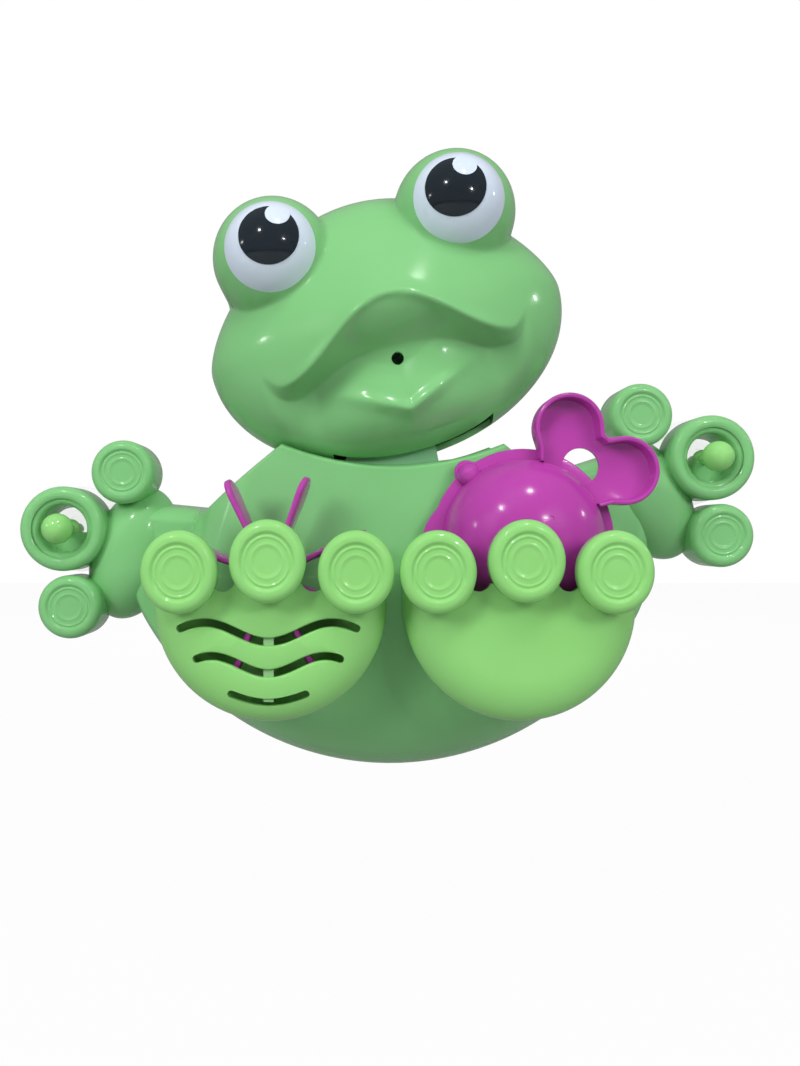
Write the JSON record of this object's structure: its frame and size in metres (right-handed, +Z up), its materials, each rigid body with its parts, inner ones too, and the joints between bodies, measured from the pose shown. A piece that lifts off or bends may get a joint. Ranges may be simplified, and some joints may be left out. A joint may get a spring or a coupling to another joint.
{
  "type": "frog bath toy",
  "caption": "Wall-hung frog bath toy with a rocking head that squeaks, a water wheel in one foot, a lift-out fish scoop in the other and suction cups behind its hands.",
  "frame": {"origin": "on the wall plane, behind the middle of the belly, where the middle line between the feet crosses the level 103 mm above the belly's lowest point", "axes": "+X to the right as seen from the front, +Y into the wall, +Z up; the toy's front faces -Y"},
  "size_m": [0.3246, 0.091, 0.2603],
  "materials": {
    "leaf_green": "glossy moulded green",
    "lime_green": "glossy moulded yellow-green",
    "pink": "glossy moulded pink",
    "clear_green": "translucent pale green",
    "clear_cup": "clear soft vinyl",
    "eye_white": "glossy white",
    "pupil_black": "glossy black inlay",
    "steel": "bright",
    "bellows": "matte",
    "reed": "matte"
  },
  "bodies": {
    "torso": {"belly_shell": "leaf_green", "back_cover": "leaf_green", "neck_link": "clear_green", "left_hand": "leaf_green", "right_hand": "leaf_green", "left_suction_cup": "clear_cup", "right_suction_cup": "clear_cup", "left_cup_knob": "leaf_green", "right_cup_knob": "leaf_green", "left_foot": "lime_green", "right_foot": "lime_green", "wheel_axle": "steel", "body_screws": "steel", "hand_screws": "steel", "foot_screws": "steel"},
    "head": {"face_shell": "leaf_green", "head_back": "leaf_green", "left_eye": "eye_white", "right_eye": "eye_white", "left_pupil": "pupil_black", "right_pupil": "pupil_black", "pivot_pin": "steel", "squeaker_bellows": "bellows", "squeaker_reed": "reed", "head_screws": "steel"},
    "wheel": {"water_wheel": "pink"},
    "scoop": {"fish_scoop": "pink"}
  },
  "joints": [
    {"name": "head_rock", "type": "hinge", "parent": "torso", "child": "head", "pos_m": [0, -0.04, 0.075], "axis": [0, 1, 0], "range_deg": [0, 29], "deforming": ["squeaker_bellows"]},
    {"name": "wheel_spin", "type": "hinge", "parent": "torso", "child": "wheel", "pos_m": [-0.0483, -0.065, -0.0167], "axis": [0, 1, 0], "continuous": true},
    {"name": "scoop_lift", "type": "slide", "parent": "torso", "child": "scoop", "axis": [0.5878, 0, 0.809], "range_m": [0, 0.13]}
  ]
}
